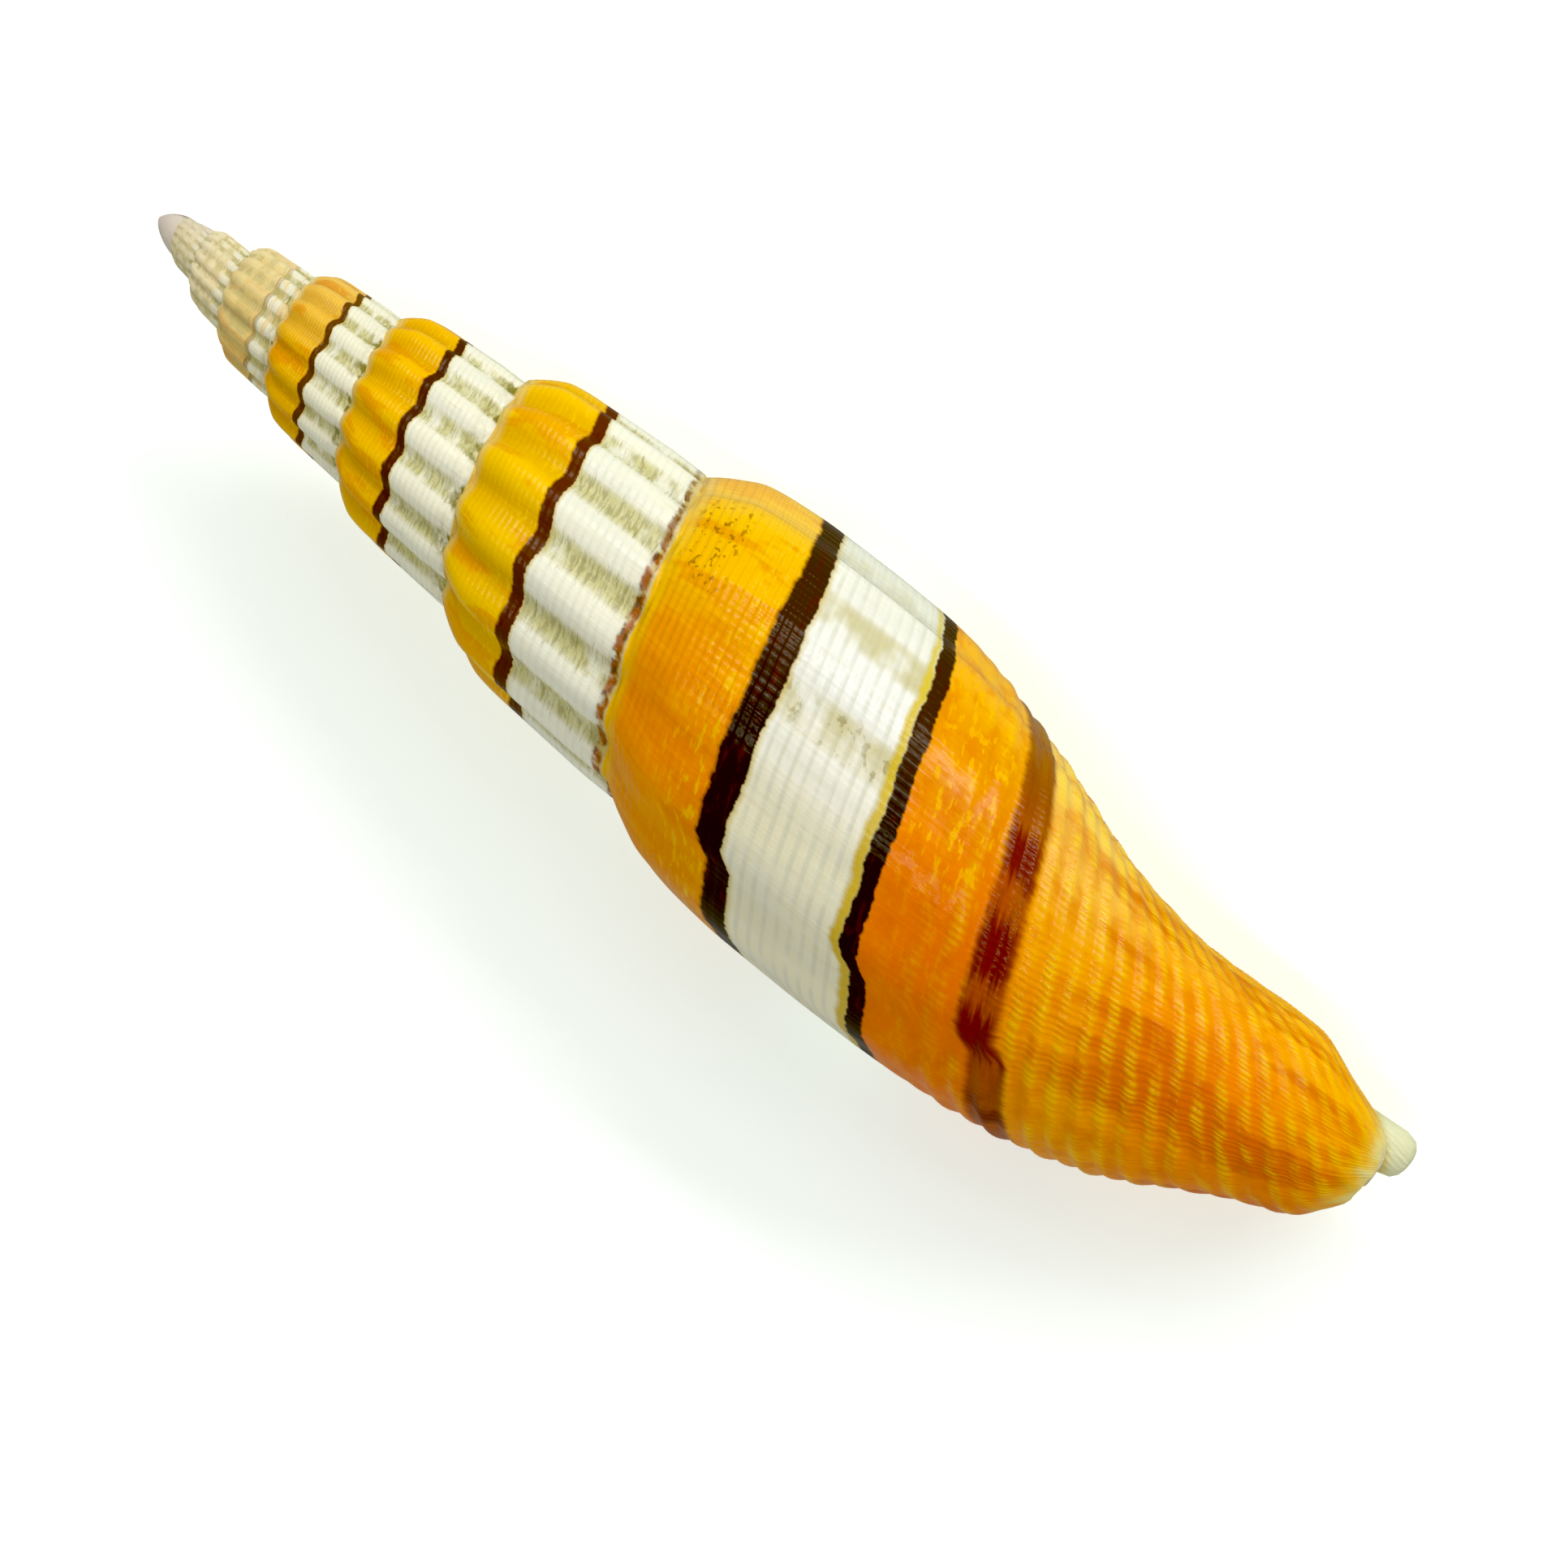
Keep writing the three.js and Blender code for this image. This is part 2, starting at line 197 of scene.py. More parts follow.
BASE_ON_RIGHT = [
    (1.41, (250, 188, 44)), (1.54, (248, 184, 40)), (1.6, (252, 214, 100)), (1.7, (253, 214, 96)),
    (1.78, (252, 198, 60)), (1.9, (252, 186, 46)), (2.02, (252, 178, 36)), (2.3, (252, 186, 40)),
]
BASE_ON_BACK = [
    (1.41, (246, 128, 2)), (1.54, (242, 122, 2)), (1.6, (252, 158, 3)), (1.68, (252, 162, 3)),
    (1.77, (250, 142, 2)), (1.9, (248, 136, 2)), (2.02, (252, 170, 4)), (2.3, (254, 178, 8)),
]
LINE_ALONG_TURNS = [
    (-5, (170, 136, 70)), (-3.7, (140, 100, 40)), (-2.8, (104, 60, 16)), (-1.9, (82, 38, 8)),
    (-0.9, (100, 42, 6)), (-0.3, (84, 46, 10)), (0.04, (66, 42, 12)), (0.17, (70, 34, 12)),
    (0.22, (40, 12, 4)), (0.6, (34, 10, 4)),
]
YELLOW_ALONG_TURNS = [(0, (212, 200, 110)), (0.12, (226, 200, 40)), (0.3, (214, 178, 8))]
BROWN_ALONG_TURNS = [
    (0.03, (150, 100, 40)), (0.12, (142, 66, 5)), (0.2, (176, 70, 3)), (0.4, (160, 66, 3)),
]
RED_PATCHES = [(0.186, 0.02), (0.262, 0.024), (0.332, 0.018)]  # turn of the middle, half length
DEEP_ORANGE = (232, 128, 2)
# Painted sheen: the paler orange before the beaded ridge.
PAINTED_SHEEN_ORANGE = (255, 212, 110)
# Painted highlights: yellow glints on the cords of the orange band.
PAINTED_GLINT_DASH = (255, 208, 50)
YELLOW_STREAK = (255, 205, 70)
BROWN_SPECK = (150, 92, 8)
GREY_WHITE = (234, 236, 220)
CREAM_STREAK = (220, 212, 176)
# Painted shade between the cords of the white band.
PAINTED_SHADE_BETWEEN_CORDS = (214, 215, 192)
LIGHT_OLIVE = (206, 200, 126)
OLIVE = (164, 156, 80)
BODY_OLIVE = (208, 198, 140)
DARK_OLIVE = (150, 138, 76)
OLIVE_DASH = (140, 132, 60)
OLIVE_DIRT = (128, 120, 44)
# Painted shade on the white before the beaded ridge.
PAINTED_SHADE_BEFORE_RIDGE = (226, 230, 212)
# Painted shadow along the foot of the beaded ridge.
PAINTED_RIDGE_SHADOW = (180, 180, 150)
BASE_PATCH = (212, 98, 2)
BASE_SPOT = (226, 110, 2)
# Painted highlights: yellow glint dashes on the broad cords of the base.
PAINTED_BASE_GLINT = (255, 192, 10)
# Painted highlights: yellow beads on the cords of the base.
PAINTED_BEAD_HIGHLIGHT = (255, 226, 40)
LINE_RED = (96, 14, 2)
LINE_FRONT_EDGE = (214, 188, 90)
LINE_REAR_EDGE = (130, 50, 4)
SUTURE_CREAM = (212, 188, 112)
SUTURE_GREY = (136, 100, 52)
SUTURE_RUST = (156, 74, 10)
SUTURE_SPOT = (96, 34, 4)
BROWN_GRAIN = (136, 40, 3)
DARK_RED = (120, 8, 2)
PEACH = (244, 204, 124)
YOUNG_OLIVE = (194, 180, 118)
RIM_YELLOW = (250, 210, 70)
RIM_CREAM = (240, 226, 150)
PILLAR_TIP_COLOUR = (252, 252, 206)
APEX_COLOUR = (238, 224, 208)
INSIDE_LIGHT = (240, 228, 204)
INSIDE_DARK = (228, 208, 172)
INSIDE_BAND = (150, 96, 56)

# Where the bands and the lines lie, as reaches.
WHITE_FROM = (1.192, 1.202)
BASE_FROM = (1.394, 1.404)
YELLOW_LINE = 1.384
SECOND_LINE = 1.4015
SECOND_LINE_HALF = 0.0118
SUTURE_RUST_LINE = 1.411
SUTURE_CREAM_LINE = 1.426
SUTURE_CREAM_HALF = 0.017
BETWEEN_LINES = 1.48
BETWEEN_LINES_HALF = 0.06
THIRD_LINE = 1.573
THIRD_LINE_HALF = 0.025
RED_PATCH_LINE = 1.572
RED_PATCH_HALF = 0.022
INSIDE_BANDS = [(LINE_MIDDLE, 0.02), (1.403, 0.02), (1.574, 0.03)]  # middle, half width

# The finest relief, in metres.
THREADS_PER_TURN = 150
CORD_RELIEF = 0.000028
THREAD_HEIGHT = 0.000012
GROWTH_HEIGHT = 0.000006
GRAIN_HEIGHT = 0.000005

# The camera, in the coil's frame.
CAMERA_PLACE = (54.32, 17.99, 93.89)
CAMERA_ANGLES = (-3.437, 15.162, 36.997)
FOCAL_LENGTH = 57.3
SENSOR = 36

# The light. A softbox stands at an angle from the right side towards the back, tilted towards
# the front end, and its width and length are angles too.
FLOOR_SIZE = 3
FLOOR_COLOUR = (0.78, 0.83, 0.8, 1)
FLOOR_ROUGHNESS = 0.8
FLOOR_GLOSS = 0.2
FLOOR_GLOW_COLOUR = (0.94, 1, 0.94, 1)
FLOOR_GLOW = 0.4
WORLD_LIGHT = 0.3
BLACK_LEVELS = (0.012, 0.014, 0.03)
SOFTBOX_DISTANCE = 0.6
SOFTBOXES = [
    ("key", 42, -6, 40, 60, 1.35),  # side, tilt, width, length, radiance
    ("right_strip", 36, 0, 5, 50, 14),
    ("back_strip", 94, 0, 4, 50, 12),
]


def mix(a, b, share):
    return a + (b - a) * share


def smooth_step(limits, value):
    share = np.clip((value - limits[0]) / (limits[1] - limits[0]), 0, 1)
    return share * share * (3 - 2 * share)


def smooth_max(a, b, blend):
    return (a + b + np.hypot(a - b, blend)) / 2


def smooth_min(a, b, blend):
    return (a + b - np.hypot(a - b, blend)) / 2


def along(profile, place):
    """A smooth curve through the points of a profile that keeps to their rises and falls."""
    xs, ys = np.array(profile, float).T
    slopes = np.diff(ys) / np.diff(xs)
    a, b = slopes[:-1], slopes[1:]
    turning = a * b <= 0
    inner = np.where(turning, 0, 2 * a * b / np.where(turning, 1, a + b))
    tangents = np.concatenate([slopes[:1], inner, slopes[-1:]])
    place = np.clip(place, xs[0], xs[-1])
    i = np.clip(np.searchsorted(xs, place, side="right") - 1, 0, len(xs) - 2)
    width = xs[i + 1] - xs[i]
    s = (place - xs[i]) / width
    return (
        ys[i] * (1 + 2 * s) * (1 - s) ** 2
        + tangents[i] * width * s * (1 - s) ** 2
        + ys[i + 1] * s * s * (3 - 2 * s)
        + tangents[i + 1] * width * s * s * (s - 1)
    )


def front_x(turn):
    return FRONT_X - FRONT_SLANT * ((1 + np.cos(2 * np.pi * turn)) / 2) ** 2


def suture_x(turn):
    sway = 1 + SUTURE_SWAY * np.sin(2 * np.pi * turn)
    return SUTURE_AT_TURN_0 * AXIAL_GROWTH**turn * sway


def rib_wave(turn):
    """1 on the crest of a rib and -1 in a groove."""
    lacking = RIBS_LACKING * np.exp(RIBS_LACKING_GROWTH * turn)
    return np.cos(2 * np.pi * (RIBS_PER_TURN * turn - lacking + RIBS_FROM_TURN_0))


def edge_x(turn):
    """The suture with the small waves of its edge."""
    strength = smooth_step(RIB_START, turn) * mix(1, SUTURE_WAVE_ON_BODY, smooth_step(BODY_FROM, turn))
    return suture_x(turn) * (1 - SUTURE_WAVE * rib_wave(turn) * strength)


def pillar_centre(x):
    share = smooth_step((PILLAR_BEND_FROM, PILLAR_TIP_X), x)
    return PILLAR_BEND[0] * share, PILLAR_BEND[1] * share


def ribs(turn, reach):
    ridge = (0.5 + 0.5 * rib_wave(turn)) ** RIB_SHARPNESS - 0.5
    height = mix(RIB_HEIGHT, RIB_HEIGHT_ON_BODY, smooth_step(RIB_FADE, turn))
    height = height * (1 + KNOB_HEIGHT * np.exp(-(((reach - KNOB_REACH) / KNOB_WIDTH) ** 2)))
    return 1 + height * ridge * smooth_step(RIB_START, turn) * (1 - smooth_step(RIB_END_REACH, reach))


def cord_count(reach):
    """How many cords lie between the suture and a reach."""
    grid = np.linspace(CORD_SPACING[0][0], CORD_SPACING[-1][0], 400)
    spacing = np.interp(grid, *np.array(CORD_SPACING).T)
    counts = np.concatenate([[0], np.cumsum(np.diff(grid) * 2 / (spacing[1:] + spacing[:-1]))])
    return np.interp(reach, grid, counts)


def cords(turn, reach):
    strength = smooth_step(CORD_FROM_REACH, reach) * smooth_step(CORD_FROM_TURN, turn)
    angle = 2 * np.pi * cord_count(reach)
    relief = (np.cos(angle) - 1) / 2 + SECOND_CORDS * (np.cos(angle / 2) - 1) / 2
    return 1 + CORD_HEIGHT * strength * relief


def past_ledge(turn):
    return smooth_step(LEDGE_TURNS, turn)


def before_ridge(turn):
    """Rises slowly up to the ridge and drops to nothing there."""
    rise = np.clip((turn - RIDGE_FROM_TURN) / (RIDGE_TURNS[0] - RIDGE_FROM_TURN), 0, 1) ** 2
    return rise * (1 - smooth_step(RIDGE_TURNS, turn))


def band_reach(turn, reach):
    """The reach that the bands of colour keep to."""
    middle = np.interp(turn, *np.array(LINE_REACHES).T)
    stair = np.interp(turn, *np.array(LINE_STAIRS).T) * (0.5 - 0.5 * rib_wave(turn))
    nearness = 1 - smooth_step((0.04, 0.14), np.abs(reach - middle))
    return reach - LEDGE_SHIFT * past_ledge(turn) + nearness * (LINE_MIDDLE - middle - stair)


def whorl_radius(turn, reach):
    lean = BASE_LEAN * turn * smooth_step(BASE_LEAN_REACH, reach)
    body = along(BODY_PROFILE, reach - lean)
    spire = along(SPIRE_PROFILE, reach)
    before_body = np.where(reach < SPIRE_PROFILE[-1][0], 1 - smooth_step(BODY_FROM, turn), 0)
    ledge = 1 - LEDGE_DEPTH * past_ledge(turn) - RIDGE_DEPTH * before_ridge(turn)
    return RADIAL_GROWTH**turn * mix(body, spire, before_body) * ribs(turn, reach) * ledge


def reach_at(turn, x):
    """The reach of a place, counted from the waving edge close to it."""
    reach = x / suture_x(turn)
    edge = edge_x(turn) / suture_x(turn)
    return reach + (1 - edge) * (1 - smooth_step((0, SUTURE_WAVE_FADE), reach - edge))


def outside_radius(turn, x, with_cords=False):
    """The outside's distance from the pillar's middle."""
    right, back = np.cos(2 * np.pi * turn), np.sin(2 * np.pi * turn)
    front = along(FRONT_PROFILE, x) - FRONT_OFFSET * right
    bend_right, bend_back = pillar_centre(x)
    reach = reach_at(turn, x)
    outer = smooth_min(whorl_radius(turn, reach), front, FRONT_BLEND)
    if with_cords:
        outer = outer * cords(turn, reach)
    from_pillar = outer - (bend_right * right + bend_back * back)
    return smooth_max(from_pillar, along(PILLAR_PROFILE, x), PILLAR_BLEND)


def coil_middle(x):
    """The middle that turns are counted round: the pillar's, with the bend of the first whorls."""
    bend_right, bend_back = pillar_centre(x)
    return bend_right + APEX_BEND * (1 - smooth_step((APEX_X, APEX_BEND_TO), x)), bend_back


def place(turn, x, radius):
    middle_right, middle_back = coil_middle(x)
    right = middle_right + radius * np.cos(2 * np.pi * turn)
    back = middle_back + radius * np.sin(2 * np.pi * turn)
    return np.stack(np.broadcast_arrays(x, right, back), -1)


def grid_faces(one, other):
    """Quads between two rows of vertices, or two grids of them that differ by one column."""
    corners = (one[..., :-1], one[..., 1:], other[..., 1:], other[..., :-1])
    return [tuple(quad) for quad in np.stack(corners, -1).reshape(-1, 4).tolist()]


class Surface:
    """A closed surface that is put together from grids of points."""

    def __init__(self):
        self.points = []
        self.faces = []
        self.count = 0

    def add(self, points):
        points = np.asarray(points, float)
        index = np.arange(self.count, self.count + points[..., 0].size).reshape(points.shape[:-1])
        self.points.append(points.reshape(-1, 3))
        self.count += points[..., 0].size
        return index

    def strip(self, one, other):
        self.faces += grid_faces(one, other)

    def fan(self, middle, row):
        self.faces += [(int(middle), a, b) for a, b in zip(row[:-1].tolist(), row[1:].tolist())]

    def fill_between(self, one, other):
        """Fills the flat space between two rows that share their first and last points."""
        xs = np.concatenate(self.points)[:, 0]
        one, other = one.tolist(), other.tolist()
        i = j = 0
        while i + 1 < len(one) or j + 1 < len(other):
            next_one = xs[one[i + 1]] if i + 1 < len(one) else math.inf
            next_other = xs[other[j + 1]] if j + 1 < len(other) else math.inf
            if next_one <= next_other:
                corners = (one[i], one[i + 1], other[j])
                i += 1
            else:
                corners = (one[i], other[j + 1], other[j])
                j += 1
            if len(set(corners)) == len(corners):
                self.faces.append(corners)

    def mesh(self, name, materials, material_index):
        mesh = bpy.data.meshes.new(name)
        mesh.from_pydata(np.concatenate(self.points).tolist(), [], self.faces)
        for material in materials:
            mesh.materials.append(material)
        mesh.polygons.foreach_set("material_index", np.full(len(mesh.polygons), material_index))
        return mesh


def outside():
    """The outside, closed by a flat face behind the lip."""
    surface = Surface()
    back_steps = np.concatenate([[0], LIP_STEPS, np.arange(1, COLUMNS_PER_TURN) / COLUMNS_PER_TURN])
    per_turn = len(back_steps)
    turns = LIP_TURN - (np.arange(LIP_TURN - FIRST_TURN)[:, None] + back_steps).ravel()
    turns = np.sort(turns[turns >= FIRST_TURN])
    shares = np.concatenate([
        np.linspace(0, SHOULDER_SHARE, SHOULDER_ROWS, endpoint=False),
        np.linspace(SHOULDER_SHARE, 1, SPIRE_ROWS + 1),
    ])[1:]

    def points(turn, x):
        rounding = 1 - LIP_ROUNDING * (1 - smooth_step((0, LIP_STEPS[-1]), LIP_TURN - turn))
        near_front = np.clip(1 - (front_x(turn) - x) / FRONT_ROUNDING_LENGTH, 0, 1)
        rounding = rounding * (1 - FRONT_ROUNDING * near_front**2)
        slimming = 1 - APEX_SLIMMING * (1 - smooth_step((FIRST_TURN, APEX_SLIM_TO), turn))
        return place(turn, x, outside_radius(turn, x, with_cords=True) * rounding * slimming)

    spire_xs = mix(edge_x(turns)[:, None], edge_x(turns + 1)[:, None], shares)
    spire = surface.add(points(turns[:, None], spire_xs))
    first_tops = surface.add(points(turns[:per_turn], edge_x(turns[:per_turn])))
    tops = np.concatenate([first_tops, spire[:-per_turn, -1]])
    columns = np.concatenate([tops[:, None], spire], 1)
    surface.strip(columns[1:], columns[:-1])

    last = turns[-per_turn - 1:]
    body_xs = mix(edge_x(last + 1)[:, None], front_x(last)[:, None], np.linspace(0, 1, BODY_ROWS + 1)[1:])
    body = surface.add(points(last[:, None], body_xs))
    body = np.concatenate([spire[-per_turn - 1:, -1:], body], 1)
    surface.strip(body[1:], body[:-1])

    close_apex(surface, np.concatenate([spire[0, ::-1], tops[:per_turn]]))
    front = surface.add(place(0, FRONT_X, 0))
    surface.fan(front, body[:, -1])
    pillar = np.append(body[0], front)
    surface.fill_between(pillar, np.concatenate([columns[-1], body[-1, 1:], [int(front)]]))
    return surface


def close_apex(surface, edge):
    """The rounded tip of the spire, from the first turn's upper edge inwards."""
    start = np.concatenate(surface.points)[edge]
    tip = place(0, APEX_X, 0)
    rim = edge
    for angle in np.linspace(0, np.pi / 2, DOME_RINGS + 1)[1:-1]:
        length = 1 - np.sin(angle) ** (2 / APEX_DOME_POWER)
        width = np.cos(angle) ** (2 / APEX_DOME_POWER)
        ring = surface.add(mix(tip, start, np.array([length, width, width])))
        surface.strip(np.append(ring, ring[0]), np.append(rim, rim[0]))
        rim = ring
    surface.fan(surface.add(tip), np.append(rim, rim[0])[::-1])


def folds(turn, x):
    """The folds that wind up the pillar inside the aperture."""
    reach = x / suture_x(turn)
    size = RADIAL_GROWTH ** np.minimum(turn, 0)
    ridges = [h * np.exp(-(((reach - r) / FOLD_WIDTH) ** 2)) for r, h in zip(FOLD_REACHES, FOLD_HEIGHTS)]
    return sum(ridges) * size


def hollow():
    """The hollow, as a closed tube wound back from the lip."""
    surface = Surface()
    length = LIP_TURN + PAST_LIP - HOLLOW_END_TURN
    turns = LIP_TURN + PAST_LIP - np.linspace(0, length, round(length * HOLLOW_COLUMNS_PER_TURN))
    turn = turns[:, None]
    top = suture_x(turn) * HOLLOW_TOP_REACH
    base = suture_x(turn) * HOLLOW_FLOOR_REACH
    floor = mix(base, FRONT_X + PAST_FRONT, smooth_step(CANAL_TURNS, turn))
    xs = mix(top, floor, np.linspace(0, 1, HOLLOW_ROWS + 2) ** 1.15)
    wall = WALL * RADIAL_GROWTH ** np.minimum(turn, 0)
    bare = outside_radius(turn - 1, xs) + CALLUS
    outer = np.maximum(outside_radius(turn, xs) - wall, bare + LEAST_HOLLOW)
    inner = np.minimum(bare + folds(turn, xs), mix(bare, outer, 0.5))
    middle = (inner + outer) / 2
    rows = [
        place(turn, xs[:, :1], middle[:, :1]),
        place(turn, xs[:, 1:-1], outer[:, 1:-1]),
        place(turn, xs[:, -1:], middle[:, -1:]),
        place(turn, xs[:, -2:0:-1], inner[:, -2:0:-1]),
    ]
    rings = surface.add(np.concatenate(rows, 1))
    closed = np.concatenate([rings, rings[:, :1]], 1)
    surface.strip(closed[:-1], closed[1:])
    close_end(surface, rings[0], False)
    close_end(surface, rings[-1], True)
    return surface


def close_end(surface, ring, is_far_end):
    """Fills the end of the tube, between its outer and its inner side."""
    half = len(ring) // 2
    ring = ring.tolist()
    faces = [(ring[0], ring[1], ring[-1])]
    faces += [(ring[i], ring[i + 1], ring[-i - 1], ring[-i]) for i in range(1, half - 1)]
    faces += [(ring[half - 1], ring[half], ring[half + 1])]
    surface.faces += faces if is_far_end else [face[::-1] for face in faces]


def pillar_tip():
    """The blunt tip of the pillar, past the edge of the canal."""
    surface = Surface()
    backs, widths = np.array(TIP_SHAPE[::-1]).T
    turns = np.arange(TIP_SIDES) / TIP_SIDES
    points = place(turns, (PILLAR_TIP_X - backs[:-1])[:, None], PILLAR_TIP_RADIUS * widths[:-1, None])
    rings = surface.add(points)
    closed = np.concatenate([rings, rings[:, :1]], 1)
    surface.strip(closed[:-1], closed[1:])
    surface.fan(surface.add(place(0, PILLAR_TIP_X - backs[0], 0)), closed[0, ::-1])
    surface.fan(surface.add(place(0, PILLAR_TIP_X, 0)), closed[-1])
    return surface


def combined(base, others):
    """The base's mesh with others cut from it or joined to it by Boolean modifiers."""
    body = bpy.data.objects.new("base", base)
    bpy.context.collection.objects.link(body)
    tools = []
    for mesh, operation in others:
        tool = bpy.data.objects.new(mesh.name, mesh)
        bpy.context.collection.objects.link(tool)
        tools.append(tool)
        cut = body.modifiers.new(mesh.name, "BOOLEAN")
        cut.object, cut.operation, cut.solver = tool, operation, "EXACT"
    graph = bpy.context.evaluated_depsgraph_get()
    mesh = bpy.data.meshes.new_from_object(body.evaluated_get(graph))
    for thing in (body, *tools):
        bpy.data.objects.remove(thing)
    return mesh


def coil_places(points):
    """The turn within its whorl, between 0 and 1, and the distance along the axis, of points."""
    x = points[:, 0]
    middle_right, middle_back = coil_middle(x)
    turn = np.arctan2(points[:, 2] - middle_back, points[:, 1] - middle_right) / (2 * np.pi)
    return turn % 1, x


def whorl_of(turn, x, radius, is_inside):
    """Which turn of the ribbon each place is on."""
    level = np.log(np.maximum(x, APEX_X) / suture_x(turn)) / np.log(AXIAL_GROWTH)
    full = turn + np.floor(level)
    full = np.where(x < edge_x(full), full - 1, full)
    full = np.where(x >= edge_x(full + 1), full + 1, full)
    full = np.where(full > LIP_TURN, full - 1, full)
    inner = np.where(is_inside & (radius < outside_radius(full - 1, x)), full - 1, full)
    return np.where(inner > LIP_TURN, inner - 1, inner)


def mark_coil(mesh):
    """Keeps each corner's turn, band reach, number of cords and place on its rib for the materials."""
    points = np.zeros(len(mesh.vertices) * 3)
    mesh.vertices.foreach_get("co", points)
    points = points.reshape(-1, 3)
    corner_vertex = np.zeros(len(mesh.loops), int)
    mesh.loops.foreach_get("vertex_index", corner_vertex)
    starts, sizes = np.zeros((2, len(mesh.polygons)), int)
    mesh.polygons.foreach_get("loop_start", starts)
    mesh.polygons.foreach_get("loop_total", sizes)
    kinds = np.zeros(len(mesh.polygons), int)
    mesh.polygons.foreach_get("material_index", kinds)
    corners = points[corner_vertex]
    centres = np.add.reduceat(corners, starts, axis=0) / sizes[:, None]
    turn, x = coil_places(centres)
    middle_right, middle_back = coil_middle(x)
    radius = np.hypot(centres[:, 1] - middle_right, centres[:, 2] - middle_back)
    face_turn = np.repeat(whorl_of(turn, x, radius, kinds == 1), sizes)
    corner_turn, corner_x = coil_places(corners)
    step = corner_turn - np.repeat(turn, sizes)
    full_turn = face_turn + step - np.round(step)
    reach = reach_at(full_turn, corner_x)
    values = {
        "coil": np.stack([full_turn, band_reach(full_turn, reach), cord_count(reach)], 1),
        "relief": np.stack([rib_wave(full_turn), reach, front_x(full_turn) - corner_x], 1),
    }
    for name, vectors in values.items():
        attribute = mesh.attributes.new(name, "FLOAT_VECTOR", "CORNER")
        attribute.data.foreach_set("vector", vectors.astype(np.float32).ravel())


def laid_down():
    """The turn and lift that lay the coil's frame on the ground."""
    about_axis = Matrix.Rotation(-math.pi / 2 - 2 * math.pi * DOWN_TURN, 4, "X")
    return Matrix.Rotation(math.radians(APEX_LIFT), 4, "Y") @ about_axis


def paint(red, green, blue):
    """A colour for the shaders, given by the levels from 0 to 255 that it shows in full light."""
    levels = np.array([red, green, blue]) / 255
    linear = np.where(levels <= 0.04045, levels / 12.92, ((levels + 0.055) / 1.055) ** 2.4)
    return (*(linear / FULL_LIGHT).tolist(), 1)


class Nodes:
    """Adds shader nodes to a material and links them up."""

    def __init__(self, name):
        self.material = bpy.data.materials.new(name)
        self.material.use_nodes = True
        self.tree = self.material.node_tree
        self.tree.nodes.clear()

    def add(self, kind, inputs=None, **settings):
        node = self.tree.nodes.new(kind)
        for name, value in settings.items():
            setattr(node, name, value)
        for name, value in (inputs or {}).items():
            self.put(node.inputs[name], value)
        return node

    def put(self, socket, value):
        if isinstance(value, bpy.types.NodeSocket):
            self.tree.links.new(value, socket)
        else:
            socket.default_value = value

    def math(self, operation, *values):
        node = self.add("ShaderNodeMath", operation=operation)
        for socket, value in zip(node.inputs, values):
            self.put(socket, value)
        return node.outputs[0]

    def plus(self, *values):
        total = values[0]
        for value in values[1:]:
            total = self.math("ADD", total, value)
        return total

    def times(self, *values):
        product = values[0]
        for value in values[1:]:
            product = self.math("MULTIPLY", product, value)
        return product

    def rise(self, value, start, end, low=0.0, high=1.0):
        """Goes smoothly from low to high as the value goes from start to end."""
        node = self.add("ShaderNodeMapRange", interpolation_type="SMOOTHSTEP")
        for socket, given in zip(node.inputs, (value, start, end, low, high)):
            self.put(socket, given)
        return node.outputs["Result"]

    def stripe(self, value, middle, half_width, softness):
        """1 in a stripe and 0 outside it."""
        distance = self.math("ABSOLUTE", self.math("SUBTRACT", value, middle))
        inner = self.math("SUBTRACT", half_width, softness)
        outer = self.math("ADD", half_width, softness)
        return self.rise(distance, inner, outer, 1.0, 0.0)

    def except_in(self, zone, share):
        """1 outside a zone and the share in it, where the zone is 1 inside and 0 outside."""
        return self.rise(zone, 0.0, 1.0, 1.0, share)

    def mixed(self, share, a, b):
        """Goes from colour a to colour b as the share goes from 0 to 1."""
        node = self.add("ShaderNodeMix", data_type="RGBA", blend_type="MIX")
        node.clamp_factor = True
        for socket, value in zip((node.inputs[0], node.inputs[6], node.inputs[7]), (share, a, b)):
            self.put(socket, value)
        return node.outputs[2]

    def scaled(self, vector, scale, shift):
        grown = self.add("ShaderNodeVectorMath", {0: vector, 1: scale}, operation="MULTIPLY").outputs[0]
        return self.add("ShaderNodeVectorMath", {0: grown, 1: shift}, operation="ADD").outputs[0]

    def noise(self, vector, detail, roughness):
        settings = {"Vector": vector, "Scale": 1.0, "Detail": detail, "Roughness": roughness}
        return self.add("ShaderNodeTexNoise", settings).outputs["Fac"]

    def colours(self, value, stops):
        """Blends from colour to colour as the value passes the stops."""
        low, high = stops[0][0], stops[-1][0]
        share = self.add("ShaderNodeMapRange", {0: value, 1: low, 2: high}).outputs[0]
        node = self.add("ShaderNodeValToRGB", {0: share})
        ends = node.color_ramp.elements
        ends[0].color, ends[1].color = paint(*stops[0][1]), paint(*stops[-1][1])
        for stop, colour in stops[1:-1]:
            ends.new((stop - low) / (high - low)).color = paint(*colour)
        return node.outputs[0]

    def finish(self, colour, height, roughness, settings):
        """The shader and its output, with the relief as a bump of the full height in metres."""
        bump = self.add("ShaderNodeBump", {"Height": height, "Strength": 1.0, "Distance": 1.0})
        shader = self.add("ShaderNodeBsdfPrincipled", {"Base Color": colour, "Normal": bump.outputs[0]})
        self.put(shader.inputs["Roughness"], roughness)
        for name, value in settings.items():
            shader.inputs[name].default_value = value
        self.add("ShaderNodeOutputMaterial", {0: shader.outputs[0]})
        return self.material


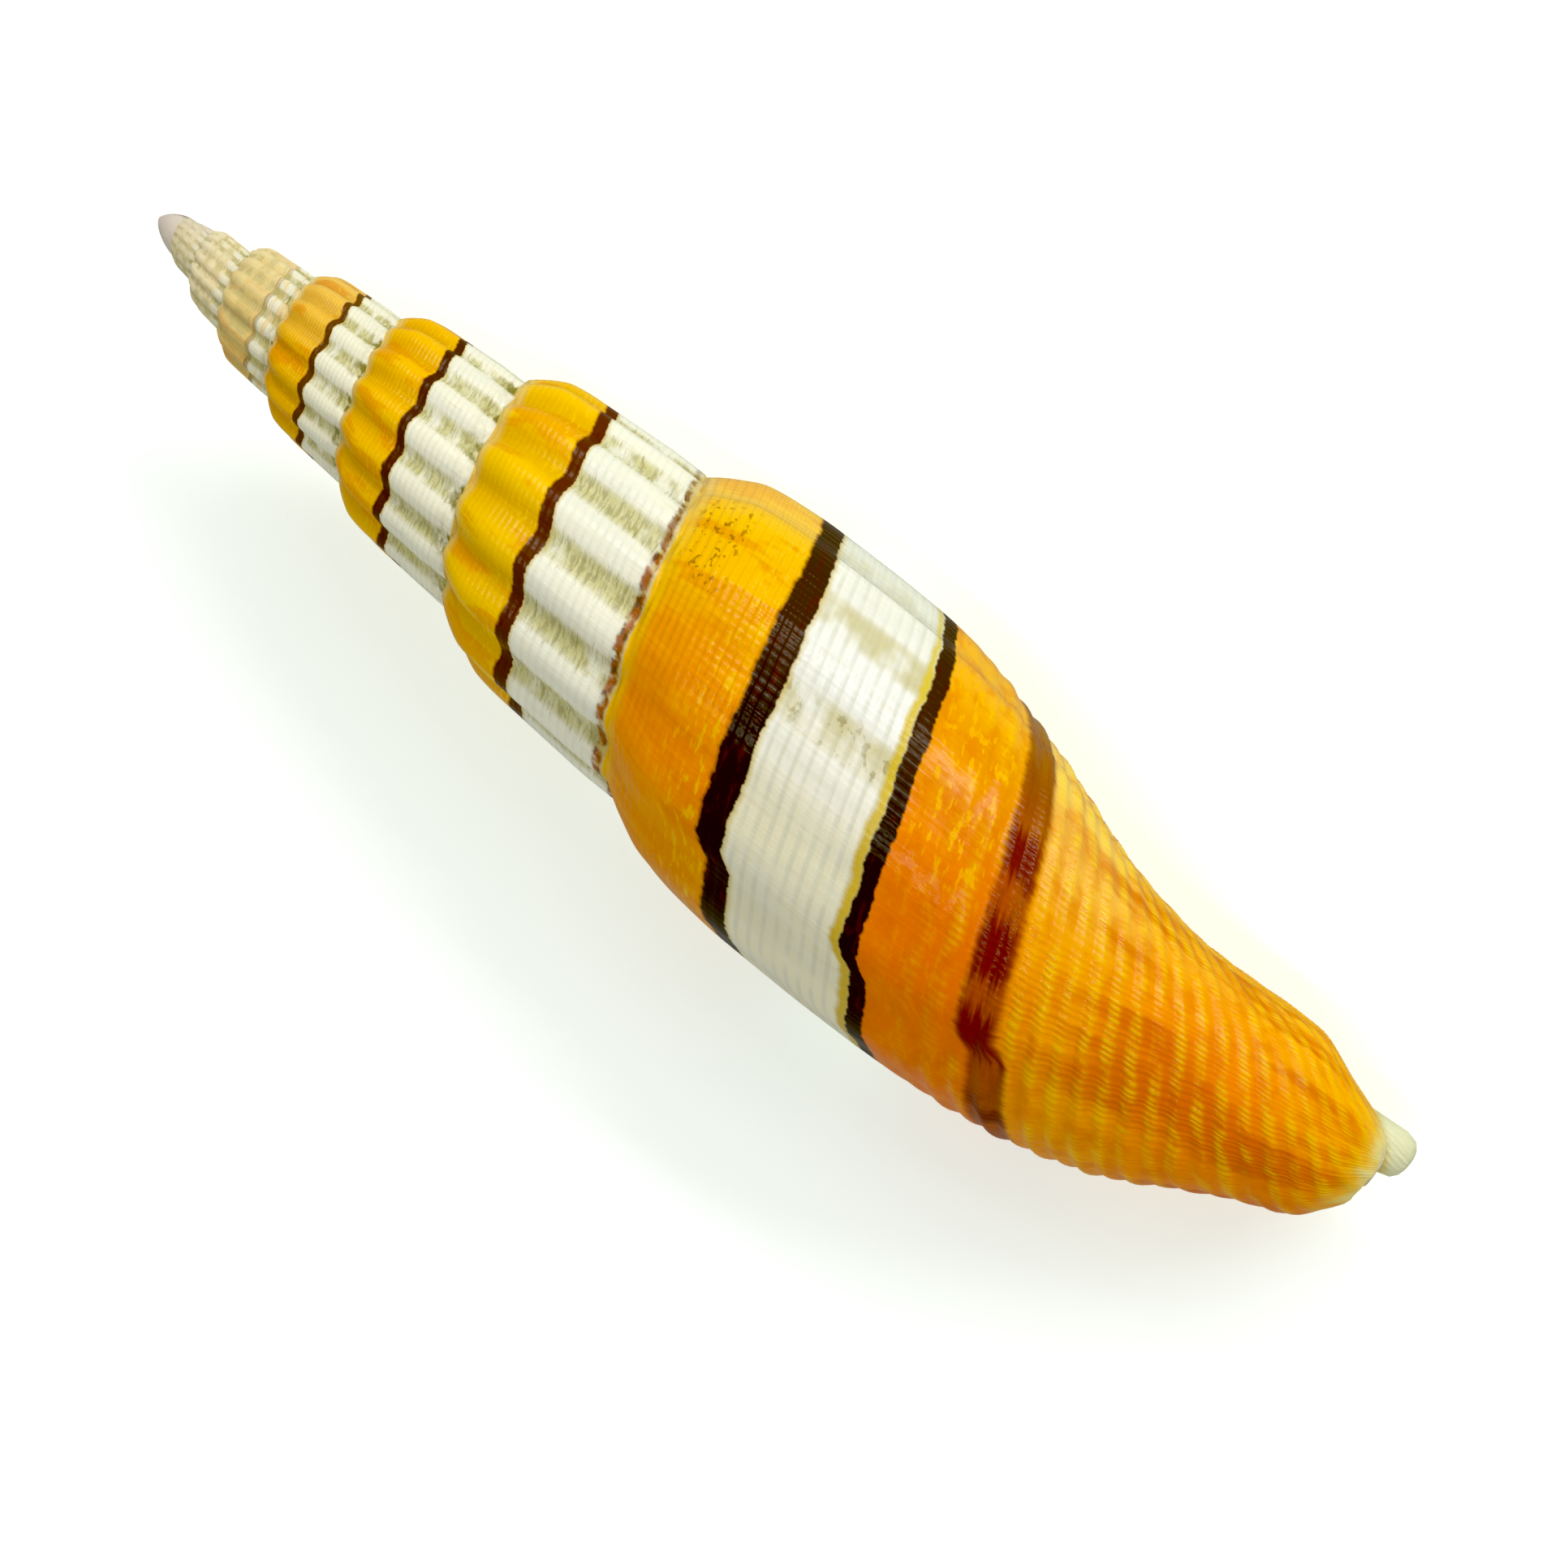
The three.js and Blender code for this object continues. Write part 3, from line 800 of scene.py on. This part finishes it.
class ShellNodes(Nodes):
    """Nodes that know their place on the shell."""

    def __init__(self, name):
        super().__init__(name)
        self.turn, self.reach, self.cord = self.parts("coil")
        rib, self.bare_reach, self.behind_front = self.parts("relief")
        self.groove = self.rise(rib, 1.0, -1.0)
        self.flat = self.add("ShaderNodeCombineXYZ", {0: self.turn, 1: self.reach}).outputs[0]
        self.spire = self.rise(self.turn, -0.4, 0.0, 1.0, 0.0)
        self.cord_wave = self.wave(self.cord)

    def parts(self, name):
        vector = self.add("ShaderNodeAttribute", attribute_name=name).outputs["Vector"]
        return self.add("ShaderNodeSeparateXYZ", {0: vector}).outputs

    def wave(self, count):
        """A wave that is 1 at every whole number and -1 halfway."""
        return self.math("COSINE", self.times(count, 2 * math.pi))

    def texture(self, to_a_turn, to_a_reach, shift, low, high, share=1.0):
        """Soft marks, so many to a turn and to a unit of reach, as strong as the share.

        The shift picks a pattern, and a mark fades in as the noise goes from low to high.
        """
        place_there = self.scaled(self.flat, (to_a_turn, to_a_reach, 0), (shift, 2 * shift, 3 * shift))
        return self.rise(self.noise(place_there, 3.0, 0.55), low, high, 0.0, share)

    def scalloped(self, waviness):
        """The turn with waves that follow the cords."""
        return self.math("MULTIPLY_ADD", self.cord_wave, waviness, self.turn)

    def before_ridge(self, waviness):
        """1 on the stretch before the beaded ridge, whose edge waves with the cords."""
        turn = self.scalloped(waviness)
        start, end = RIDGE_TURNS
        return self.times(self.rise(turn, start, end, 1.0, 0.0), self.rise(turn, RIDGE_FROM_TURN, 0.03))


def orange_band(n):
    """The orange behind the first line: cream on the first whorls and deepest on the back."""
    colour = n.colours(n.turn, ORANGE_ALONG_TURNS)
    grooves = n.times(n.groove, n.math("MULTIPLY_ADD", n.spire, 0.45, 0.1))
    colour = n.mixed(grooves, colour, n.colours(n.turn, GROOVES_ALONG_TURNS))
    colour = n.mixed(n.texture(34, 5, 1, 0.5, 0.58, 0.45), colour, paint(*DEEP_ORANGE))
    # Painted sheen: the stretch before the beaded ridge is paler orange.
    colour = n.mixed(n.times(n.before_ridge(0.002), 0.35), colour, paint(*PAINTED_SHEEN_ORANGE))
    # Painted highlights: yellow glints on the cords, strongest towards the first line.
    dashes = n.times(n.texture(60, 120, 2, 0.52, 0.64, 0.6), n.rise(n.reach, 1.07, 1.16, 0.15, 1.0))
    colour = n.mixed(dashes, colour, paint(*PAINTED_GLINT_DASH))
    colour = n.mixed(n.texture(120, 6, 3, 0.56, 0.7, 0.15), colour, paint(*YELLOW_STREAK))
    colour = n.mixed(n.rise(n.turn, -4.2, -3.4, 0.85, 0.0), colour, n.colours(n.turn, CREAM_ALONG_TURNS))
    rim = n.rise(n.bare_reach, 1.004, 1.03, 0.75, 0.0)
    colour = n.mixed(rim, colour, n.colours(n.turn, RIMS_ALONG_TURNS))
    specks_near = n.times(n.stripe(n.turn, 0.125, 0.05, 0.02), n.stripe(n.reach, 1.055, 0.035, 0.015))
    specks = n.times(n.texture(110, 90, 4, 0.56, 0.62), specks_near)
    return n.mixed(n.times(specks, 0.75), colour, paint(*BROWN_SPECK))


def white_band(n):
    """The white band, with painted shade between its cords and olive in its grooves and at the sutures."""
    colour = n.colours(n.turn, WHITE_ALONG_TURNS)
    colour = n.mixed(n.texture(26, 3, 5, 0.45, 0.62, 0.4), colour, paint(*GREY_WHITE))
    colour = n.mixed(n.texture(90, 6, 6, 0.56, 0.72, 0.25), colour, paint(*CREAM_STREAK))
    # Painted shade between the cords.
    between_cords = n.rise(n.cord_wave, 0.2, -1.0)
    shade = n.times(between_cords, n.texture(40, 12, 29, 0.25, 0.65, 0.5), n.except_in(n.spire, 0.4))
    colour = n.mixed(shade, colour, paint(*PAINTED_SHADE_BETWEEN_CORDS))
    olive = n.mixed(n.texture(60, 120, 7, 0.46, 0.6), paint(*LIGHT_OLIVE), paint(*OLIVE))
    olive = n.mixed(n.rise(n.turn, -0.3, 0.1), olive, paint(*BODY_OLIVE))
    in_groove = n.times(n.rise(n.groove, 0.45, 1.0), n.texture(16, 14, 8, 0.32, 0.56))
    strength = n.rise(n.turn, 0.19, 0.24, 0.8, 0.15)
    colour = n.mixed(n.times(in_groove, strength), colour, olive)
    dark_middles = n.times(n.stripe(n.turn, 0.185, 0.04, 0.02), n.texture(70, 60, 35, 0.55, 0.62), in_groove)
    colour = n.mixed(n.times(dark_middles, 0.6), colour, paint(*DARK_OLIVE))
    dashes = n.times(n.texture(50, 200, 9, 0.56, 0.66, 0.5), n.rise(n.groove, 0.2, 0.8), n.spire)
    colour = n.mixed(dashes, colour, paint(*OLIVE_DASH))
    edge = n.times(n.rise(n.bare_reach, 1.35, 1.42), n.rise(n.turn, -1.1, -0.9, 1.0, 0.4), n.spire)
    dirt = n.times(edge, n.texture(50, 36, 10, 0.42, 0.6, 0.95), n.rise(n.groove, 0.2, 0.8, 0.2, 1.0))
    colour = n.mixed(dirt, colour, paint(*OLIVE_DIRT))
    # Painted shade: the white before the beaded ridge is greyer, where it faces away from the light.
    colour = n.mixed(n.times(n.before_ridge(0.0015), 0.5), colour, paint(*PAINTED_SHADE_BEFORE_RIDGE))
    # Painted shadow along the foot of the ridge.
    ridge_foot_shadow = n.stripe(n.scalloped(0.0015), RIDGE_TURNS[0] + 0.001, 0.002, 0.0015)
    return n.mixed(n.times(ridge_foot_shadow, 0.5), colour, paint(*PAINTED_RIDGE_SHADOW))


def base_band(n):
    """The orange and yellow before the white band, with darker patches across the cords."""
    to_back = n.rise(n.turn, 0.05, 0.28)
    colour = n.mixed(to_back, n.colours(n.reach, BASE_ON_RIGHT), n.colours(n.reach, BASE_ON_BACK))
    patches = n.times(n.texture(20, 3, 11, 0.46, 0.62, 0.75), n.rise(n.reach, 1.6, 1.75, 0.3, 1.0))
    patches = n.times(patches, n.rise(n.reach, 2.0, 2.1, 1.0, 0.3))
    colour = n.mixed(patches, colour, paint(*BASE_PATCH))
    colour = n.mixed(n.texture(40, 30, 12, 0.46, 0.62, 0.35), colour, paint(*BASE_SPOT))
    # Painted highlights: yellow glint dashes on the broad cords between the second and third lines, fainter
    # past the back.
    dashes = n.times(n.texture(60, 90, 36, 0.53, 0.62, 0.7), n.stripe(n.reach, BETWEEN_LINES, 0.055, 0.01))
    return n.mixed(n.times(dashes, n.rise(n.turn, 0.22, 0.26, 1.0, 0.2)), colour, paint(*PAINTED_BASE_GLINT))


def lined(n, colour, middle, half, softness, line_colour, share=1.0):
    """Adds a line that winds with the whorl, with a slightly jagged course."""
    fine = n.texture(170, 20, 14, 0.35, 0.65, 0.0025)
    coarse = n.texture(24, 12, 15, 0.35, 0.65, 0.004)
    jagged = n.plus(n.reach, fine, coarse)
    line = n.stripe(n.math("SUBTRACT", jagged, 0.003), middle, half, softness)
    return n.mixed(n.times(line, share), colour, line_colour)


def first_line(n, colour):
    """The dark line between orange and white, brown on the spire and nearly black on the back."""
    half = n.rise(n.turn, -0.9, 0.1, 0.013, 0.0178)
    half = n.plus(half, n.times(n.stripe(n.turn, 0.2, 0.1, 0.05), 0.0025))
    clear = n.rise(n.turn, -4.7, -2.8)
    dark = n.colours(n.turn, LINE_ALONG_TURNS)
    dark = n.mixed(n.texture(44, 90, 16, 0.55, 0.68, 0.6), dark, paint(*LINE_RED))
    front_edge = n.plus(half, LINE_MIDDLE, 0.001)
    colour = lined(n, colour, front_edge, 0.004, 0.004, paint(*LINE_FRONT_EDGE), n.times(clear, 0.6))
    rear_edge = n.math("SUBTRACT", LINE_MIDDLE, half)
    colour = lined(n, colour, rear_edge, 0.003, 0.003, paint(*LINE_REAR_EDGE), n.times(clear, 0.7))
    return lined(n, colour, LINE_MIDDLE, half, 0.0018, dark, clear)


def second_line(n, colour):
    """The dark line with a yellow one behind it, and the rusty line at the last whorl's suture."""
    yellow = n.colours(n.turn, YELLOW_ALONG_TURNS)
    uncovered = n.rise(n.turn, -0.46, -0.38)
    yellow_half = n.rise(n.turn, 0.05, 0.2, 0.005, 0.0075)
    colour = lined(n, colour, YELLOW_LINE, yellow_half, 0.005, yellow, n.times(uncovered, 0.9))
    dark = n.colours(n.turn, LINE_ALONG_TURNS)
    dark = n.mixed(n.texture(40, 90, 17, 0.55, 0.68, 0.5), dark, paint(*LINE_RED))
    colour = lined(n, colour, SECOND_LINE, SECOND_LINE_HALF, 0.0022, dark, uncovered)
    at_suture = n.times(n.rise(n.turn, -1.04, -0.98), n.math("SUBTRACT", 1.0, uncovered))
    cream_share = n.times(at_suture, 0.85)
    colour = lined(
        n, colour, SUTURE_CREAM_LINE, SUTURE_CREAM_HALF, 0.005, paint(*SUTURE_CREAM), cream_share
    )
    rust = n.mixed(n.rise(n.turn, -0.9, -0.82), paint(*SUTURE_GREY), paint(*SUTURE_RUST))
    rust = n.mixed(n.texture(70, 60, 18, 0.5, 0.58), rust, paint(*SUTURE_SPOT))
    rust_share = n.times(at_suture, n.texture(60, 20, 31, 0.34, 0.52, 0.9))
    rust_half = n.rise(n.turn, -0.9, -0.8, 0.006, 0.009)
    return lined(n, colour, SUTURE_RUST_LINE, rust_half, 0.004, rust, rust_share)


def third_line(n, colour):
    """The broad line on the base: see-through brown with dark red patches."""
    brown = n.colours(n.turn, BROWN_ALONG_TURNS)
    brown = n.mixed(n.texture(20, 160, 19, 0.46, 0.64, 0.5), brown, paint(*BROWN_GRAIN))
    colour = lined(n, colour, THIRD_LINE, THIRD_LINE_HALF, 0.006, brown, 0.88)
    wander = n.plus(n.turn, n.texture(12, 160, 20, 0.3, 0.7, 0.016), -0.008)
    patches = n.texture(9, 6, 21, 0.52, 0.56)
    patches = n.times(patches, n.rise(n.turn, 0.38, 0.42))
    for middle, half in RED_PATCHES:
        patches = n.math("MAXIMUM", patches, n.stripe(wander, middle, half, 0.009))
    return lined(n, colour, RED_PATCH_LINE, RED_PATCH_HALF, 0.007, paint(*DARK_RED), n.times(patches, 0.9))


def young_whorls(n, colour):
    """Two rows of cream beads with olive between them, and a little peach, on the first whorls."""
    young = n.rise(n.turn, -3.8, -3.0, 1.0, 0.0)
    peach = n.times(n.texture(7, 9, 34, 0.5, 0.6), n.rise(n.turn, -4.6, -3.8, 0.3, 1.0))
    colour = n.mixed(n.times(young, peach, 0.6), colour, paint(*PEACH))
    between_rows = n.math("MAXIMUM", n.stripe(n.reach, 1.15, 0.02, 0.02), n.stripe(n.reach, 1.39, 0.03, 0.03))
    olive = n.math("MAXIMUM", n.rise(n.groove, 0.4, 0.95), n.times(between_rows, 0.8))
    olive = n.times(young, olive, n.texture(24, 18, 37, 0.36, 0.6, 0.7))
    return n.mixed(olive, colour, paint(*YOUNG_OLIVE))


def pale_ends(n, colour):
    """The pale rim of the front end, the glassy tip of the pillar and the worn apex."""
    uneven = n.plus(n.behind_front, n.texture(20, 20, 22, 0.3, 0.7, 0.5))
    colour = n.mixed(n.rise(uneven, 0.3, 1.7, 0.8, 0.0), colour, paint(*RIM_YELLOW))
    colour = n.mixed(n.rise(uneven, 0.15, 0.9, 0.9, 0.0), colour, paint(*RIM_CREAM))
    colour = n.mixed(n.rise(n.behind_front, -0.5, 0.0, 1.0, 0.0), colour, paint(*PILLAR_TIP_COLOUR))
    return n.mixed(n.rise(n.turn, -6.2, -5.7, 1.0, 0.0), colour, paint(*APEX_COLOUR))


def fine_ridges(n):
    """How high the cords and the threads that cross them stand, between 0 and 1."""
    cord_count = n.plus(n.cord, n.texture(16, 10, 23, 0.2, 0.8, 0.3))
    thread_count = n.plus(n.times(n.turn, THREADS_PER_TURN), n.texture(24, 1, 24, 0.2, 0.8, 1.2))
    return n.rise(n.wave(cord_count), -1.0, 1.0), n.rise(n.wave(thread_count), -1.0, 1.0)


def fine_height(n, cord_ridge, thread):
    """The finest relief in metres: cords, threads, growth lines and grain."""
    grain = n.texture(320, 120, 26, 0.2, 0.8)
    growth = n.texture(200, 4, 27, 0.3, 0.7)
    past_middle = n.times(n.rise(n.turn, 0.23, 0.27), n.rise(n.reach, 1.5, 1.6, 1.0, 0.0))
    thread_share = n.times(
        n.rise(n.reach, 1.07, 1.14, 0.3, 1.0),
        n.except_in(n.stripe(n.reach, 1.3, 0.08, 0.02), 0.35),
        n.except_in(n.stripe(n.reach, BETWEEN_LINES, BETWEEN_LINES_HALF, 0.02), 0.15),
        n.except_in(past_middle, 0.2),
        n.except_in(n.spire, 0.12),
    )
    cord_share = n.times(n.except_in(past_middle, 0.5), n.except_in(n.spire, 0.4))
    cords_height = n.times(cord_ridge, cord_share, CORD_RELIEF)
    threads = n.times(thread, thread_share, THREAD_HEIGHT)
    return n.plus(cords_height, threads, n.times(growth, GROWTH_HEIGHT), n.times(grain, GRAIN_HEIGHT))


def outside_roughness(n):
    """Glossy with duller worn patches, and duller on the first whorls and past the ledge."""
    worn = n.rise(n.texture(18, 14, 28, 0.35, 0.65), 0.0, 1.0, 0.16, 0.26)
    on_first_whorls = n.rise(n.turn, -4.5, -2.0, 0.25, 0.0)
    return n.plus(worn, on_first_whorls, n.rise(n.turn, *LEDGE_TURNS, 0.0, 0.12))


def outside_material():
    """The glossy outside: bands of orange, dark brown, white and yellow that wind with the whorl."""
    n = ShellNodes("glazed_shell")
    uneven = n.plus(n.reach, n.texture(120, 30, 25, 0.3, 0.7, 0.004))
    colour = n.mixed(n.rise(uneven, *WHITE_FROM), orange_band(n), white_band(n))
    to_base = n.times(n.rise(uneven, *BASE_FROM), n.rise(n.turn, -0.55, -0.45))
    colour = n.mixed(to_base, colour, base_band(n))
    cord_ridge, thread = fine_ridges(n)
    # Painted highlights: yellow beads on the cords where the threads cross them, mostly on the base.
    beads = n.times(cord_ridge, n.math("MULTIPLY_ADD", thread, 0.7, 0.3), n.texture(30, 30, 38, 0.36, 0.62))
    on_base = n.rise(n.reach, 1.42, 1.62, 0.1, 0.8)
    colour = n.mixed(n.times(beads, on_base), colour, n.mixed(0.65, colour, paint(*PAINTED_BEAD_HIGHLIGHT)))
    colour = third_line(n, second_line(n, first_line(n, colour)))
    colour = pale_ends(n, young_whorls(n, colour))
    return n.finish(colour, fine_height(n, cord_ridge, thread), outside_roughness(n), {
        "IOR": 1.45,
        "Specular IOR Level": 0.27,
        "Subsurface Weight": 0.06,
        "Subsurface Radius": (1.0, 0.7, 0.4),
        "Subsurface Scale": 0.0005,
    })


def inside_material():
    """The smooth glaze of the hollow, where the bands show through faintly."""
    n = ShellNodes("inner_glaze")
    growth = n.texture(60, 3, 30, 0.35, 0.7)
    colour = n.mixed(growth, paint(*INSIDE_LIGHT), paint(*INSIDE_DARK))
    for middle, half in INSIDE_BANDS:
        band = n.times(n.stripe(n.reach, middle, half, 0.012), 0.35)
        colour = n.mixed(band, colour, paint(*INSIDE_BAND))
    return n.finish(colour, n.times(growth, GRAIN_HEIGHT), n.rise(growth, 0.0, 1.0, 0.18, 0.28), {
        "Subsurface Weight": 0.1,
        "Subsurface Scale": 0.0008,
    })


def make_shell():
    """The shell's one piece, laid down as the solid lies. Gives the coil's frame in the world."""
    materials = [outside_material(), inside_material()]
    cut = hollow().mesh("hollow", materials, 1)
    tip = pillar_tip().mesh("pillar_tip", materials, 0)
    mesh = combined(outside().mesh("outside", materials, 0), [(cut, "DIFFERENCE"), (tip, "UNION")])
    mesh.name = "mitre_shell"
    mark_coil(mesh)
    mesh.transform(laid_down())
    points = np.array([v.co for v in mesh.vertices])
    low, high = points.min(0), points.max(0)
    cad_low, cad_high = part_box("shell")
    shift = (np.array(cad_low) + np.array(cad_high)) / (2 * MM) - (low + high) / 2
    shift[2] = cad_low.z / MM - low[2]
    in_place = Matrix.Scale(MM, 4) @ Matrix.Translation(Vector(shift))
    mesh.transform(in_place)
    mesh.polygons.foreach_set("use_smooth", np.ones(len(mesh.polygons), bool))
    mesh.set_sharp_from_angle(angle=math.radians(SHARP_ANGLE))
    shell = bpy.data.objects.new("mitre_shell", mesh)
    bpy.context.collection.objects.link(shell)
    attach(shell, "root")
    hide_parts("shell")
    return in_place @ laid_down()


def make_camera(coil_to_world):
    camera = bpy.data.objects.new("camera", bpy.data.cameras.new("camera"))
    bpy.context.collection.objects.link(camera)
    camera.data.sensor_width = SENSOR
    camera.data.lens = FOCAL_LENGTH
    camera.data.clip_start = 0.001
    angles = Euler([math.radians(angle) for angle in CAMERA_ANGLES])
    stand = coil_to_world @ Matrix.Translation(CAMERA_PLACE) @ angles.to_matrix().to_4x4()
    location, rotation, _ = stand.decompose()
    camera.location = location
    camera.rotation_mode = "QUATERNION"
    camera.rotation_quaternion = rotation
    bpy.context.scene.camera = camera


def make_floor():
    mesh = bpy.data.meshes.new("floor")
    half = FLOOR_SIZE / 2
    corners = [(-half, -half, 0), (half, -half, 0), (half, half, 0), (-half, half, 0)]
    mesh.from_pydata(corners, [], [(0, 1, 2, 3)])
    n = Nodes("white_table")
    shader = n.add("ShaderNodeBsdfPrincipled")
    shader.inputs["Base Color"].default_value = FLOOR_COLOUR
    shader.inputs["Roughness"].default_value = FLOOR_ROUGHNESS
    shader.inputs["Specular IOR Level"].default_value = FLOOR_GLOSS
    shader.inputs["Emission Color"].default_value = FLOOR_GLOW_COLOUR
    shader.inputs["Emission Strength"].default_value = FLOOR_GLOW
    n.add("ShaderNodeOutputMaterial", {0: shader.outputs[0]})
    mesh.materials.append(n.material)
    floor = bpy.data.objects.new("floor", mesh)
    bpy.context.collection.objects.link(floor)
    floor.visible_glossy = False


def make_world():
    world = bpy.data.worlds.new("studio")
    world.use_nodes = True
    background = world.node_tree.nodes["Background"]
    background.inputs[0].default_value = (1, 1, 1, 1)
    background.inputs[1].default_value = WORLD_LIGHT
    bpy.context.scene.world = world


def make_softbox(coil_to_world, name, side, tilt, width, length, radiance):
    """A box of light that faces the shell, with its length along the coiling axis."""
    side, tilt = math.radians(side), math.radians(tilt)
    toward = Vector((math.sin(tilt), math.cos(tilt) * math.cos(side), math.cos(tilt) * math.sin(side)))
    toward = (coil_to_world.to_3x3() @ toward).normalized()
    axis = (coil_to_world.to_3x3() @ Vector((1, 0, 0))).normalized()
    across = toward.cross(axis).normalized()
    light = bpy.data.lights.new(name, "AREA")
    light.shape = "RECTANGLE"
    light.size = 2 * SOFTBOX_DISTANCE * math.tan(math.radians(length) / 2)
    light.size_y = 2 * SOFTBOX_DISTANCE * math.tan(math.radians(width) / 2)
    light.energy = radiance * math.pi * light.size * light.size_y
    lamp = bpy.data.objects.new(name, light)
    bpy.context.collection.objects.link(lamp)
    turned = Matrix((across.cross(toward), across, toward)).transposed()
    lamp.matrix_world = Matrix.Translation(toward * SOFTBOX_DISTANCE) @ turned.to_4x4()


coil_to_world = make_shell()
make_camera(coil_to_world)
make_floor()
make_world()
for name, *softbox in SOFTBOXES:
    make_softbox(coil_to_world, name, *softbox)
view = bpy.context.scene.view_settings
view.view_transform = "Standard"
view.use_curve_mapping = True
view.curve_mapping.black_level = BLACK_LEVELS
view.curve_mapping.update()
